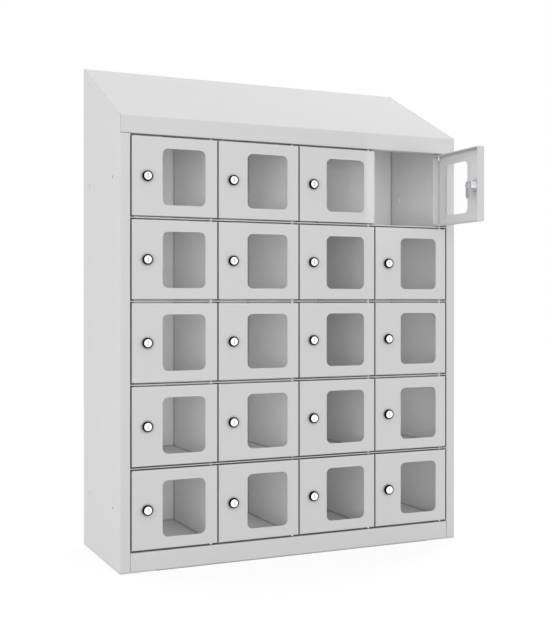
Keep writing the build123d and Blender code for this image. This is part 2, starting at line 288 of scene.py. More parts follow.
class LockerStudio(bpy.types.PropertyGroup):
    """Camera and light"""

    camera_place: FloatVectorProperty(
        name="Camera place", description="Where the camera stands", default=(-0.8001, -1.7817, 0.4494),
        subtype="TRANSLATION",
    )
    camera_heading: FloatProperty(
        name="Camera heading", description="Turn of the level camera to the right of straight ahead",
        default=math.radians(24.34), subtype="ANGLE",
    )
    lens: FloatProperty(name="Lens", description="Focal length in millimetres", default=59.76, min=1)
    side_shift: FloatProperty(name="Side shift", description="Sideways shift of the frame", default=0.0003)
    lens_shift: FloatProperty(name="Lens shift", description="Vertical shift of the frame", default=-0.0249)
    sky: fraction("Sky", "Strength of the surrounding light", 0.9)
    key_light: strength("Key light", "Radiance of the low lamp at the front left", 4.3)
    side_light: strength("Side light", "Radiance of the large lamp at the left", 0.97)
    top_light: strength("Top light", "Radiance of the lamp behind and over the sloping top", 2.3)
    right_light: strength("Right light", "Radiance of the lamp at the front right", 3.1)
    door_light: strength("Door light", "Radiance of the lamp in front of the inside of the open door", 0.5)
    cell_light: strength("Compartment light", "Radiance of the lamp in each compartment", 1.22)
    top_row: strength("Top row", "Share of that light in the tall compartments under the hood", 1.21)
    low_row: strength("Lowest row", "Share of that light in the lowest compartments", 0.85)
    dim_column: strength("Dim column", "Share of that light in the third column, but for its top", 0.58)
    floor_lift: fraction("Floor lift", "Added white of the floor as the camera sees it", 0.7)
    floor_gleam: fraction("Floor gleam", "Added white of the floor in reflections", 0.88)


# Mesh work

def bevel(mesh, geometry, width, segments, **settings):
    """Rounds or chamfers edges or corners."""
    bmesh.ops.bevel(
        mesh, geom=geometry, offset=width, segments=segments, profile=0.5, material=-1, **settings
    )


def rectangle(mesh, low, high, radius=0.0):
    """Draws the outline of an upright rectangle between two corners, rounded, and returns its edges."""
    edges, faces = set(mesh.edges), set(mesh.faces)
    corners = bmesh.ops.create_grid(mesh, x_segments=1, y_segments=1, size=0.5)["verts"]
    size = Matrix.Diagonal((high.x - low.x, high.z - low.z, 1, 1))
    middle = Matrix.Translation(((low.x + high.x) / 2, 0, (low.z + high.z) / 2))
    bmesh.ops.transform(mesh, matrix=middle @ UPRIGHT @ size, verts=corners)
    if radius:
        bevel(mesh, corners, radius, CORNER_SEGMENTS, affect="VERTICES")
    drawn = [face for face in mesh.faces if face not in faces]
    bmesh.ops.delete(mesh, geom=drawn, context="FACES_ONLY")
    return [edge for edge in mesh.edges if edge not in edges]


def ring(mesh, radius, segments=TURNED_STEPS, flats=0.0):
    """Draws an upright circle about the origin, cut by two level flats if they are given."""
    points = bmesh.ops.create_circle(mesh, cap_ends=False, segments=segments, radius=radius)["verts"]
    bmesh.ops.transform(mesh, matrix=UPRIGHT, verts=points)
    if flats:
        flatten(points, flats)
    return edges_at(points)


def edges_at(points):
    """The edges that meet at some points."""
    return list(dict.fromkeys(edge for point in points for edge in point.link_edges))


def flatten(points, flats):
    """Pulls points in to two level flats."""
    for point in points:
        point.co.z = max(-flats / 2, min(flats / 2, point.co.z))


def ends_of(edges):
    """The points of some edges."""
    return list(dict.fromkeys(point for edge in edges for point in edge.verts))


def of_kind(kind, geometry):
    """The points, edges or faces among the results of an operator."""
    return [part for part in geometry if isinstance(part, kind)]


def move(mesh, geometry, by):
    """Moves the points among some geometry."""
    bmesh.ops.translate(mesh, vec=by, verts=of_kind(bmesh.types.BMVert, geometry))


def fill(mesh, edges, normal=FACING_FRONT):
    """Fills an outline and leaves the outlines inside it open."""
    filled = bmesh.ops.triangle_fill(mesh, edges=edges, use_beauty=True, use_dissolve=False, normal=normal)
    return of_kind(bmesh.types.BMFace, filled["geom"])


def thicken(mesh, faces, start, thickness):
    """Makes a plate of flat upright faces, from a depth behind the door's face."""
    move(mesh, mesh.verts, (0, start, 0))
    move(mesh, bmesh.ops.extrude_face_region(mesh, geom=faces)["geom"], (0, thickness, 0))
    face_outwards(mesh)


def face_outwards(mesh):
    """Turns the faces of a shell one way, which is outwards where it is closed."""
    bmesh.ops.recalc_face_normals(mesh, faces=mesh.faces[:])


def soften(mesh, width, segments, least_angle=40):
    """Rounds every edge that folds by more than an angle in degrees."""
    sharp = [
        edge
        for edge in mesh.edges
        if len(edge.link_faces) == 2 and edge.calc_face_angle() > math.radians(least_angle)
    ]
    bevel(mesh, sharp, width, segments, affect="EDGES", offset_type="OFFSET", clamp_overlap=True)


def turned(mesh, profile, axis=(0, 1, 0), steps=TURNED_STEPS):
    """Turns a profile of (radius, place along the axis) points into a closed shell."""
    along = Vector(axis)
    across = Vector((1, 0, 0))
    points = [mesh.verts.new(across * radius + along * place) for radius, place in profile]
    edges = [mesh.edges.new(pair) for pair in zip(points, points[1:])]
    if profile[0][0] > 0:
        edges.append(mesh.edges.new((points[-1], points[0])))
    bmesh.ops.spin(
        mesh, geom=points + edges, cent=(0, 0, 0), axis=along, angle=2 * math.pi, steps=steps,
        use_merge=True, use_duplicate=False,
    )
    bmesh.ops.remove_doubles(mesh, verts=mesh.verts[:], dist=MERGE)
    face_outwards(mesh)


def off_axis(point):
    """How far a point lies from the axis of the lock."""
    return math.hypot(point.co.x, point.co.z)


def hexagon_in(points, flats):
    """Pulls points that lie outside a hexagon about the lock's axis in to its flats."""
    for point in points:
        angle = math.atan2(point.co.z, point.co.x)
        from_flat = (angle + HALF_SIDE) % (2 * HALF_SIDE) - HALF_SIDE
        most = flats / 2 / math.cos(from_flat)
        radius = off_axis(point)
        if radius > most:
            point.co.x *= most / radius
            point.co.z *= most / radius


def stays_sharp(edge):
    """True where faces fold more than a round would, or where one is far larger than the other."""
    if len(edge.link_faces) != 2:
        return True
    small, large = sorted(face.calc_area() for face in edge.link_faces)
    fold = edge.calc_face_angle()
    return fold > SHARP_FOLD or (fold > FLAT_FOLD and large > FLAT_RATIO * small)


def finished(mesh, name):
    """Closes the bmesh into a mesh that keeps its own axes as an attribute, for patterns to follow."""
    for face in mesh.faces:
        face.smooth = True
    for edge in mesh.edges:
        edge.smooth = not stays_sharp(edge)
    data = bpy.data.meshes.new(name)
    mesh.to_mesh(data)
    mesh.free()
    places = data.attributes.new("own_axes", "FLOAT_VECTOR", "POINT")
    for point, place in zip(data.vertices, places.data):
        place.vector = point.co
    return data


def new_object(name, data):
    """An object in the scene."""
    made = bpy.data.objects.new(name, data)
    bpy.context.scene.collection.objects.link(made)
    return made


def add_piece(name, data, looks, body, node):
    """Shows a mesh that is in its place as a piece of the locker."""
    piece = new_object(name, data)
    made = finishes()
    for look in looks:
        data.materials.append(made[look])
    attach(piece, body)
    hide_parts(node)
    return piece


def add_at_door(kind, data, place, looks, body, node):
    """Shows a copy of a mesh that was made in a door's own axes, moved to where that door is."""
    copy = data.copy()
    copy.transform(door_axes(place))
    return add_piece(f"{kind}_{place}", copy, looks, body, node)


def node_of(place, kind):
    """The node of a fixed part of a door: its own if the frame has one, or the door's."""
    own = f"{kind}_{place}"
    return own if own in frame["nodes"] else f"door_{place}"


# Door parts

def door_pan(sizes):
    """The folded tray of a door, pierced for its window, its lock and its two hinge pins."""
    low, high = door_corners()
    hinge = hinge_in_door(closed_place())
    border = Vector((sizes.fold, 0, sizes.fold)) * BORDER_FOLDS
    mesh = bmesh.new()
    outer = rectangle(mesh, low, high)
    inner = rectangle(mesh, low + border, high - border)
    bmesh.ops.bridge_loops(mesh, edges=outer + inner)
    window_low = Vector((sizes.window_to_lock, 0, -sizes.window_height / 2))
    window_high = window_low + Vector((sizes.window_width, 0, sizes.window_height))
    window = rectangle(mesh, window_low, window_high, sizes.window_radius)
    locks = bpy.context.scene.locker_locks
    barrel = ring(mesh, locks.barrel_radius + locks.fit, flats=locks.barrel_flats + 2 * locks.fit)
    fill(mesh, inner + window + barrel)
    move(mesh, bmesh.ops.extrude_edge_only(mesh, edges=outer)["geom"], (0, sizes.depth, 0))
    bevel(mesh, outer, sizes.fold, FOLD_SEGMENTS, affect="EDGES", offset_type="OFFSET")
    for height in (low.z, high.z):
        pierce_return(mesh, hinge, height, sizes.pin_hole_radius)
    bmesh.ops.remove_doubles(mesh, verts=mesh.verts[:], dist=MERGE)
    face_outwards(mesh)
    front = max(mesh.faces, key=lambda face: abs(face.normal.y) * face.calc_area())
    if front.normal.y > 0:
        bmesh.ops.reverse_faces(mesh, faces=mesh.faces[:])
    bmesh.ops.solidify(mesh, geom=mesh.faces[:], thickness=sizes.sheet)
    face_outwards(mesh)
    soften(mesh, sizes.raw_edge, 1, 60)
    return finished(mesh, "door_pan")


def pierce_return(mesh, hinge, height, radius):
    """Opens a round hole for a hinge pin in the upper or lower return of a door."""
    level = next(
        face
        for face in mesh.faces
        if abs(face.normal.z) > LEVEL and abs(face.calc_center_median().z - height) < NEAR
    )
    rim = list(level.edges)
    bmesh.ops.delete(mesh, geom=[level], context="FACES_ONLY")
    points = bmesh.ops.create_circle(mesh, cap_ends=False, segments=HOLE_SEGMENTS, radius=radius)["verts"]
    move(mesh, points, (hinge.x, hinge.y, height))
    fill(mesh, rim + edges_at(points), Vector((0, 0, math.copysign(1, height))))


def clear_pane(sizes):
    """The clear pane behind the window, with a polished edge."""
    half_height = sizes.window_height / 2 + sizes.pane_overlap
    low = Vector((sizes.window_to_lock - sizes.pane_overlap, 0, -half_height))
    high = Vector((sizes.window_to_lock + sizes.window_width + sizes.pane_overlap, 0, half_height))
    mesh = bmesh.new()
    faces = fill(mesh, rectangle(mesh, low, high, sizes.pane_radius))
    thicken(mesh, faces, sizes.sheet + sizes.pane_gap, sizes.pane_thickness - sizes.pane_gap)
    soften(mesh, sizes.pane_edge, 1)
    return finished(mesh, "clear_pane")


# Lock parts

def lock_housing(sizes):
    """The bezel and threaded barrel of a lock, bored for its plug. The barrel has the second finish."""
    bore, seat = sizes.plug_radius + sizes.fit, sizes.face_radius + sizes.fit
    front, seat_floor = -sizes.bezel_height, -sizes.bezel_height + sizes.face_seat
    rim = sizes.bezel_round / 6
    root = sizes.barrel_radius - sizes.thread_depth
    profile = [(bore, sizes.barrel_length), (root, sizes.barrel_length)]
    ridges = int((sizes.barrel_length - sizes.nut_height) / sizes.thread_pitch)
    for ridge in range(ridges):
        top = sizes.barrel_length - (ridge + 0.5) * sizes.thread_pitch
        profile += [(sizes.barrel_radius, top), (root, top - sizes.thread_pitch / 2)]
    profile += [(sizes.barrel_radius, 0), (sizes.bezel_radius - rim, 0), (sizes.bezel_radius, -rim)]
    for step in range(BEZEL_STEPS + 1):
        angle = math.radians(90) * step / BEZEL_STEPS
        profile.append((
            sizes.bezel_radius - sizes.bezel_round * (1 - math.cos(angle)),
            front + sizes.bezel_round * (1 - math.sin(angle)),
        ))
    profile += [(seat + rim, front), (seat, front + rim), (seat, seat_floor), (bore, seat_floor)]
    mesh = bmesh.new()
    turned(mesh, profile)
    flatten([point for point in mesh.verts if point.co.y > NEAR], sizes.barrel_flats)
    for face in mesh.faces:
        face.material_index = 1 if face.calc_center_median().y > NEAR else 0
    return finished(mesh, "lock_housing")


def lock_nut(sizes):
    """The hexagonal nut that clamps the barrel, its corners chamfered on the outer side."""
    hole = sizes.barrel_radius + sizes.fit
    corner = sizes.nut_flats / 2 / math.cos(HALF_SIDE)
    sheet = bpy.context.scene.locker_doors.sheet
    outer = sheet + sizes.nut_height
    chamfer = (corner - sizes.nut_flats / 2) * NUT_CHAMFER
    mesh = bmesh.new()
    turned(mesh, [
        (hole, sheet),
        (corner, sheet),
        (corner, outer - chamfer * NUT_SLOPE),
        (corner - chamfer, outer),
        (hole + chamfer / 3, outer),
        (hole, outer - chamfer / 3),
    ], steps=NUT_STEPS)
    hexagon_in(mesh.verts, sizes.nut_flats)
    inside = [point for point in mesh.verts if off_axis(point) < hole + chamfer / 2]
    flatten(inside, sizes.barrel_flats + 2 * sizes.fit)
    return finished(mesh, "lock_nut")


def key_slot(mesh, sizes):
    """Draws the outline of the key slot: two round ends and a drawn-in neck."""
    edges = ring(mesh, sizes.slot_width / 2, SLOT_SEGMENTS)
    stretch = (sizes.slot_length - sizes.slot_width) / 2
    for point in ends_of(edges):
        if abs(point.co.z) > MERGE:
            point.co.z += math.copysign(stretch, point.co.z)
        else:
            point.co.x -= math.copysign(sizes.slot_neck, point.co.x)
    return edges


def lock_plug(sizes):
    """The turning plug: a bright face with the key slot, and its body down to the cam."""
    face_at = -sizes.bezel_height - sizes.face_proud
    shoulder = -sizes.bezel_height + sizes.face_seat - sizes.fit
    rim = sizes.face_proud
    mesh = bmesh.new()
    turned(mesh, [
        (0, face_at),
        (sizes.face_radius - rim, face_at),
        (sizes.face_radius, face_at + rim),
        (sizes.face_radius, shoulder),
        (sizes.plug_radius, shoulder),
        (sizes.plug_radius, sizes.cam_at),
        (0, sizes.cam_at),
    ])
    disc = [face for face in mesh.faces if face.calc_center_median().y < face_at + MERGE]
    edge = [side for side in mesh.edges if sum(face in disc for face in side.link_faces) == 1]
    centre = [point for point in mesh.verts if point.co.y < face_at + MERGE and off_axis(point) < NEAR]
    bmesh.ops.delete(mesh, geom=centre, context="VERTS")
    slot = key_slot(mesh, sizes)
    move(mesh, ends_of(slot), (0, face_at, 0))
    fill(mesh, edge + slot)
    walls = bmesh.ops.extrude_edge_only(mesh, edges=slot)["geom"]
    move(mesh, walls, (0, sizes.slot_depth, 0))
    floor_points = of_kind(bmesh.types.BMVert, walls)
    sides = of_kind(bmesh.types.BMEdge, walls)
    # the floor of the key slot takes the darker nickel, painted shade of the keyway
    for face in fill(mesh, [side for side in sides if all(point in floor_points for point in side.verts)]):
        face.material_index = 1
    face_outwards(mesh)
    return finished(mesh, "lock_plug")


def lock_cam(sizes):
    """The flat cam, hanging down in its unlocked position."""
    mesh = bmesh.new()
    outline = ring(mesh, sizes.cam_width / 2, CAM_SEGMENTS)
    for point in ends_of(outline):
        if point.co.z < 0:
            point.co.z -= sizes.cam_reach - sizes.cam_width / 2
    hole = ring(mesh, sizes.screw_radius, HOLE_SEGMENTS)
    thicken(mesh, fill(mesh, outline + hole), sizes.cam_at, sizes.cam_thickness)
    soften(mesh, sizes.cam_thickness / 6, 2)
    return finished(mesh, "lock_cam")


def cam_screw(sizes):
    """The screw of the cam: a flat round head with a hexagonal socket."""
    seat = sizes.cam_at + sizes.cam_thickness
    top = seat + sizes.screw_head_height
    socket = sizes.socket_flats / 2 / math.cos(HALF_SIDE)
    shank = sizes.screw_radius * 0.98  # leaves a little room in the hole of the cam
    rim = sizes.screw_head_height / 4
    mesh = bmesh.new()
    turned(mesh, [
        (0, top - sizes.socket_depth),
        (socket, top - sizes.socket_depth),
        (socket, top),
        (sizes.screw_head_radius - 2 * rim, top),
        (sizes.screw_head_radius - rim / 2, top - rim / 2),
        (sizes.screw_head_radius, top - 2 * rim),
        (sizes.screw_head_radius, seat),
        (shank, seat),
        (shank, seat - sizes.screw_length + rim),
        (shank - rim, seat - sizes.screw_length),
        (0, seat - sizes.screw_length),
    ])
    inside = [point for point in mesh.verts if point.co.y > seat + NEAR and off_axis(point) < socket + NEAR]
    hexagon_in(inside, sizes.socket_flats)
    return finished(mesh, "cam_screw")


# Hinge pins

def hinge_pin(sizes, places, low, high, collar=None, head=None):
    """Pins turned from rod, at some places, with a collar and a head of (low, high) heights if given."""
    rim = sizes.pin_radius / 6
    profile = [(0, low), (sizes.pin_radius - rim, low), (sizes.pin_radius, low + rim)]
    swellings = [(*head, sizes.head_radius)] if head else []
    swellings += [(*collar, sizes.collar_radius)] if collar else []
    for bottom, top, radius in sorted(swellings):
        if bottom > low:
            profile.append((sizes.pin_radius, bottom))
        else:
            profile = [(0, low)]
        profile += [(radius - rim, bottom), (radius, bottom + rim)]
        profile += [(radius, top - rim), (radius - rim, top)]
        if top < high:
            profile.append((sizes.pin_radius, top))
    if math.isclose(profile[-1][1], high):
        profile.append((0, high))
    else:
        profile += [(sizes.pin_radius, high - rim), (sizes.pin_radius - rim, high), (0, high)]
    mesh = bmesh.new()
    turned(mesh, profile, (0, 0, 1), PIN_STEPS)
    first = mesh.verts[:] + mesh.edges[:] + mesh.faces[:]
    start = places[0]
    for place in places[1:]:
        move(mesh, bmesh.ops.duplicate(mesh, geom=first)["geom"], place - start)
    move(mesh, mesh.verts, start)
    return mesh


# Shader node groups

def new_group(make):
    """A shader node group. Its function takes the named inputs and returns what the output gives."""
    inputs, output = GROUPS[make]
    tree = bpy.data.node_groups.new(make.__name__, "ShaderNodeTree")
    for label, value in inputs.items():
        kind = "NodeSocketFloat" if isinstance(value, float) else "NodeSocketColor"
        tree.interface.new_socket(name=label, in_out="INPUT", socket_type=kind).default_value = value
    kind = "NodeSocketColor" if output == "Color" else "NodeSocketFloat"
    tree.interface.new_socket(name=output, in_out="OUTPUT", socket_type=kind)
    given, out = tree.nodes.new("NodeGroupInput"), tree.nodes.new("NodeGroupOutput")
    feed(tree, out, {output: make(tree, given.outputs)})
    return tree


def feed(tree, node, inputs):
    """Gives a node's inputs values or other nodes' sockets."""
    for label, value in inputs.items():
        if isinstance(value, bpy.types.NodeSocket):
            tree.links.new(value, node.inputs[label])
        else:
            node.inputs[label].default_value = value


def add_node(tree, kind, inputs=None, **settings):
    """Adds a node, sets it up and feeds its inputs."""
    made = tree.nodes.new(kind)
    for label, value in settings.items():
        setattr(made, label, value)
    feed(tree, made, inputs or {})
    return made


def maths(tree, operation, first, second):
    """One sum on two values."""
    return add_node(tree, "ShaderNodeMath", {0: first, 1: second}, operation=operation).outputs[0]


def object_place(tree):
    """The place on the object."""
    return add_node(tree, "ShaderNodeTexCoord").outputs["Object"]


def noise(tree, place, scale, detail=2.0, roughness=0.5):
    """Smooth noise round 0.5."""
    inputs = {"Vector": place, "Scale": scale, "Detail": detail, "Roughness": roughness}
    return add_node(tree, "ShaderNodeTexNoise", inputs).outputs["Fac"]


def spread_about(tree, wave, amount):
    """A wave round 0.5, moved to lie round 0 and scaled."""
    return maths(tree, "MULTIPLY", maths(tree, "SUBTRACT", wave, 0.5), amount)


def scaled_colour(tree, tone, share):
    """A colour times a value."""
    both = add_node(tree, "ShaderNodeVectorMath", {0: tone, "Scale": share}, operation="SCALE")
    return both.outputs[0]


def coat_tone_group(tree, given):
    """Colour of a sprayed coat: broad cloudiness and the fine fleck of cured powder."""
    place = object_place(tree)
    cloud = spread_about(tree, noise(tree, place, 4.0), given["Clouding"])
    fleck = spread_about(tree, noise(tree, place, 1600.0), given["Fleck"])
    share = maths(tree, "ADD", maths(tree, "ADD", cloud, fleck), 1.0)
    return scaled_colour(tree, given["Tone"], share)


def painted_corner_shade_group(tree, given):
    """Colour of a coat with painted shade where parts meet: an ambient occlusion node darkens it in folds,
    slits and corners.
    """
    open_share = add_node(
        tree, "ShaderNodeAmbientOcclusion", {"Distance": given["Reach"]}, samples=PAINTED_SHADE_SAMPLES
    ).outputs["AO"]
    hidden = maths(tree, "SUBTRACT", 1.0, open_share)
    share = maths(tree, "SUBTRACT", 1.0, maths(tree, "MULTIPLY", hidden, given["Depth"]))
    return scaled_colour(tree, given["Tone"], share)


def orange_peel_group(tree, given):
    """Height of a powder coat: the long waves of orange peel and a finer grain on them."""
    place = object_place(tree)
    per_metre = maths(tree, "DIVIDE", 1.0, given["Wave size"])
    wave = noise(tree, place, per_metre, detail=1.0)
    grain = noise(tree, place, maths(tree, "MULTIPLY", per_metre, 4.0), detail=1.0)
    return maths(tree, "ADD", wave, maths(tree, "MULTIPLY", grain, given["Grain"]))


def handling_group(tree, given):
    """Roughness of a surface that hands have touched: soft smears and faint wiped streaks."""
    place = object_place(tree)
    smear = spread_about(tree, noise(tree, place, 18.0, detail=3.0, roughness=0.6), given["Smears"])
    long = add_node(tree, "ShaderNodeMapping", {"Vector": place, "Scale": (90.0, 90.0, 7.0)}).outputs[0]
    streak = spread_about(tree, noise(tree, long, 1.0, detail=3.0, roughness=0.6), given["Streaks"])
    return maths(tree, "ADD", given["Roughness"], maths(tree, "ADD", smear, streak))


def turning_group(tree, given):
    """Height of the rings that a lathe leaves about the axis of a lock."""
    own = add_node(tree, "ShaderNodeAttribute", attribute_name="own_axes").outputs["Vector"]
    parts = add_node(tree, "ShaderNodeSeparateXYZ", {"Vector": own}).outputs
    across = maths(tree, "MULTIPLY", parts["X"], parts["X"])
    up = maths(tree, "MULTIPLY", parts["Z"], parts["Z"])
    radius = maths(tree, "SQRT", maths(tree, "ADD", across, up), 0.0)
    rings = maths(tree, "DIVIDE", radius, given["Ring width"])
    wave = add_node(tree, "ShaderNodeTexNoise", {"W": rings, "Scale": 1.0}, noise_dimensions="1D")
    return wave.outputs["Fac"]


def plating_group(tree, given):
    """Colour of plated metal: the faint cloudiness of the bath."""
    wave = noise(tree, object_place(tree), 260.0, detail=4.0, roughness=0.6)
    cloud = spread_about(tree, wave, given["Clouding"])
    share = maths(tree, "ADD", cloud, 1.0)
    return scaled_colour(tree, given["Tone"], share)


GROUPS = {  # the inputs of each, with defaults, and its output
    coat_tone_group: ({"Tone": GROUP_TONE, "Clouding": 0.02, "Fleck": 0.02}, "Color"),
    # painted shade: darkens a tone by ambient occlusion in folds, slits and corners
    painted_corner_shade_group: ({"Tone": GROUP_TONE, "Reach": PAINTED_SHADE_REACH, "Depth": 0.5}, "Color"),
    orange_peel_group: ({"Wave size": COAT_WAVE, "Grain": 0.25}, "Height"),
    handling_group: ({"Roughness": 0.4, "Smears": 0.1, "Streaks": 0.05}, "Roughness"),
    turning_group: ({"Ring width": RING_WIDTH}, "Height"),
    plating_group: ({"Tone": GROUP_TONE, "Clouding": 0.08}, "Color"),
}


def use_group(tree, make, **values):
    """Places a node group with values of its own and returns its output."""
    group = bpy.data.node_groups.get(make.__name__) or new_group(make)
    inputs = {label.replace("_", " "): value for label, value in values.items()}
    return add_node(tree, "ShaderNodeGroup", inputs, node_tree=group).outputs[0]


# Materials

def new_material(name):
    """A material with its node tree and its Principled shader."""
    material = bpy.data.materials.new(name)
    material.use_nodes = True
    return material, material.node_tree, material.node_tree.nodes["Principled BSDF"]


def finish(make, name, *looks):
    """A material, made the first time that it is asked for."""
    return bpy.data.materials.get(name) or make(name, *looks)


def bumped(tree, height, distance):
    """The normal of a surface that has a height."""
    bump = add_node(tree, "ShaderNodeBump", {"Height": height, "Strength": 1.0, "Distance": distance})
    return bump.outputs["Normal"]


def powder_coat(name, tone):
    """Satin powder coat on folded steel."""
    material, tree, shader = new_material(name)
    unshaded_tone = use_group(tree, coat_tone_group, Tone=(*tone, 1.0), Clouding=0.03, Fleck=0.03)
    peel = use_group(tree, orange_peel_group, Wave_size=COAT_WAVE, Grain=0.25)
    feed(tree, shader, {
        # painted shade: the coat darkened by ambient occlusion in folds, slits, corners and round the locks
        "Base Color": use_group(tree, painted_corner_shade_group, Tone=unshaded_tone, Reach=PAINTED_SHADE_REACH, Depth=0.9),
        "Roughness": use_group(tree, handling_group, Roughness=0.46, Smears=0.10, Streaks=0.04),
        "Normal": bumped(tree, peel, COAT_HEIGHT),
        "IOR": COAT_IOR,
    })
    return material


def plated(name, tone, roughness, clouding, ring_height):
    """Plated or polished metal with turning marks."""
    material, tree, shader = new_material(name)
    rings = use_group(tree, turning_group, Ring_width=RING_WIDTH)
    feed(tree, shader, {
        "Base Color": use_group(tree, plating_group, Tone=(*tone, 1.0), Clouding=clouding),
        "Metallic": 1.0,
        "Roughness": use_group(tree, handling_group, Roughness=roughness, Smears=0.12, Streaks=0.0),
        "Normal": bumped(tree, rings, ring_height),
    })
    return material


def black_lacquer(name, tone):
    """Satin black lacquer on a die casting."""
    material, tree, shader = new_material(name)
    peel = use_group(tree, orange_peel_group, Wave_size=LACQUER_WAVE, Grain=0.4)
    feed(tree, shader, {
        "Base Color": use_group(tree, coat_tone_group, Tone=(*tone, 1.0), Clouding=0.1, Fleck=0.3),
        "Roughness": use_group(tree, handling_group, Roughness=0.34, Smears=0.12, Streaks=0.03),
        "Normal": bumped(tree, peel, LACQUER_HEIGHT),
        "Specular IOR Level": 0.05,
    })
    return material


def clear_sheet(name, tone):
    """Clear polycarbonate: light passes it as well as the view does."""
    material, tree, shader = new_material(name)
    feed(tree, shader, {
        "Base Color": (*tone, 1.0),
        "Transmission Weight": 1.0,
        "IOR": PANE_IOR,
        "Roughness": use_group(tree, handling_group, Roughness=0.03, Smears=0.03, Streaks=0.02),
    })
    rays = add_node(tree, "ShaderNodeLightPath").outputs
    passing = maths(tree, "MAXIMUM", rays["Is Shadow Ray"], rays["Is Diffuse Ray"])
    through = add_node(tree, "ShaderNodeBsdfTransparent", {"Color": (*tone, 1.0)})
    both = add_node(
        tree, "ShaderNodeMixShader", {0: passing, 1: shader.outputs["BSDF"], 2: through.outputs["BSDF"]}
    )
    feed(tree, tree.nodes["Material Output"], {"Surface": both.outputs[0]})
    return material


def finishes():
    """The materials of the locker, from the colours that are set."""
    colours = bpy.context.scene.locker_colours
    slot_painted_shade_tone = [SLOT_PAINTED_SHADE * share for share in colours.nickel]
    return {
        "carcass": finish(powder_coat, "carcass_coat", colours.carcass),
        "doors": finish(powder_coat, "door_coat", colours.doors),
        "bezel": finish(black_lacquer, "lock_black_lacquer", colours.bezel),
        # roughness, clouding and height of the marks of turning
        "nickel": finish(plated, "bright_nickel", colours.nickel, 0.16, 0.03, 0.004 * MM),
        # the key slot's floor: nickel darkened as painted shade of the keyway
        "slot": finish(plated, "key_slot_painted_shade", slot_painted_shade_tone, 0.4, 0.05, 0.002 * MM),
        "zinc": finish(plated, "zinc_plate", colours.zinc, 0.38, 0.10, 0.006 * MM),
        "pins": finish(plated, "polished_pin", colours.pins, 0.18, 0.02, 0.002 * MM),
        "pane": finish(clear_sheet, "clear_polycarbonate", colours.pane),
    }


# Operators

class LOCKER_OT_finish_carcass(bpy.types.Operator):
    """Coat the folded sheet parts that stand still"""

    bl_idname = "locker.finish_carcass"
    bl_label = "Finish Carcass"

    def execute(self, context):
        coat = finishes()["carcass"]
        for name in CARCASS:
            panel = frame["nodes"][name]
            if not panel.material_slots:
                panel.data.materials.append(coat)
            for slot in panel.material_slots:
                slot.material = coat
        return {"FINISHED"}


class LOCKER_OT_add_hinge_pins(bpy.types.Operator):
    """Turn the pins that the doors hang on"""

    bl_idname = "locker.add_hinge_pins"
    bl_label = "Add Hinge Pins"

    def execute(self, context):
        sizes = context.scene.locker_doors
        top_row = [place for place in PLACES if place.startswith(f"r{TOP_ROW}")]
        columns = [hinge_at(place).xy.to_3d() for place in top_row]
        self.show("upper_end_pins", self.upper_pins(sizes, columns), "hinge_pins_top")
        self.show("lower_end_pins", self.lower_pins(sizes, columns), "hinge_pins_base")
        self.show("shelf_pins", self.shelf_pins(sizes, columns), "hinge_pins_shelves")
        return {"FINISHED"}

    def upper_pins(self, sizes, columns):
        """The pins that hang by their heads in the lip of the fascia."""
        low, high = (corner.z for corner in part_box("hinge_pins_top"))
        return hinge_pin(sizes, columns, low, high, head=(high - sizes.head_height, high))

    def lower_pins(self, sizes, columns):
        """The pins in the plinth: a head under it, and a collar over it that carries the lowest doors."""
        low, high = (corner.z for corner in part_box("hinge_pins_base"))
        lowest_door = min(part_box(f"door_{place}")[0].z for place in PLACES)
        collar_top = min(lowest_door - sizes.collar_play, high - sizes.pin_above + sizes.collar_height)
        collar = (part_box("plinth_front")[1].z, collar_top)
        return hinge_pin(sizes, columns, low, high, collar, (low, low + sizes.head_height))

    def shelf_pins(self, sizes, columns):
        """The pins in the shelves, each with a collar that carries the door above it."""
        shelves = sorted(name for name in CARCASS if name.startswith("shelf_"))
        tops = [Vector((0, 0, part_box(name)[1].z)) for name in shelves]
        places = [column + top for top in tops for column in columns]
        return hinge_pin(sizes, places, -sizes.pin_below, sizes.pin_above, (0, sizes.collar_height))

    def show(self, name, mesh, node):
        """Adds pins as one piece."""
        add_piece(name, finished(mesh, name), ["pins"], CABINET, node)


class LOCKER_OT_add_doors(bpy.types.Operator):
    """Fold a pan for every door"""

    bl_idname = "locker.add_doors"
    bl_label = "Add Door Pans"

    def execute(self, context):
        pan = door_pan(context.scene.locker_doors)
        for place in PLACES:
            door = f"door_{place}"
            add_at_door("door_pan", pan, place, ["doors"], door, door)
        return {"FINISHED"}


class LOCKER_OT_add_panes(bpy.types.Operator):
    """Glaze every door"""

    bl_idname = "locker.add_panes"
    bl_label = "Add Panes"

    def execute(self, context):
        pane = clear_pane(context.scene.locker_doors)
        for place in PLACES:
            node = node_of(place, "pane")
            piece = add_at_door("clear_pane", pane, place, ["pane"], f"door_{place}", node)
            piece.visible_shadow = False
        return {"FINISHED"}


class LOCKER_OT_add_lock_housings(bpy.types.Operator):
    """Add the bezel and barrel of every lock, and the nut behind the door"""

    bl_idname = "locker.add_lock_housings"
    bl_label = "Add Lock Housings"

    def execute(self, context):
        sizes = context.scene.locker_locks
        housing, nut = lock_housing(sizes), lock_nut(sizes)
        for place in PLACES:
            door, node = f"door_{place}", node_of(place, "lock_housing")
            add_at_door("lock_bezel", housing, place, ["bezel", "zinc"], door, node)
            add_at_door("lock_nut", nut, place, ["zinc"], door, node)
        return {"FINISHED"}


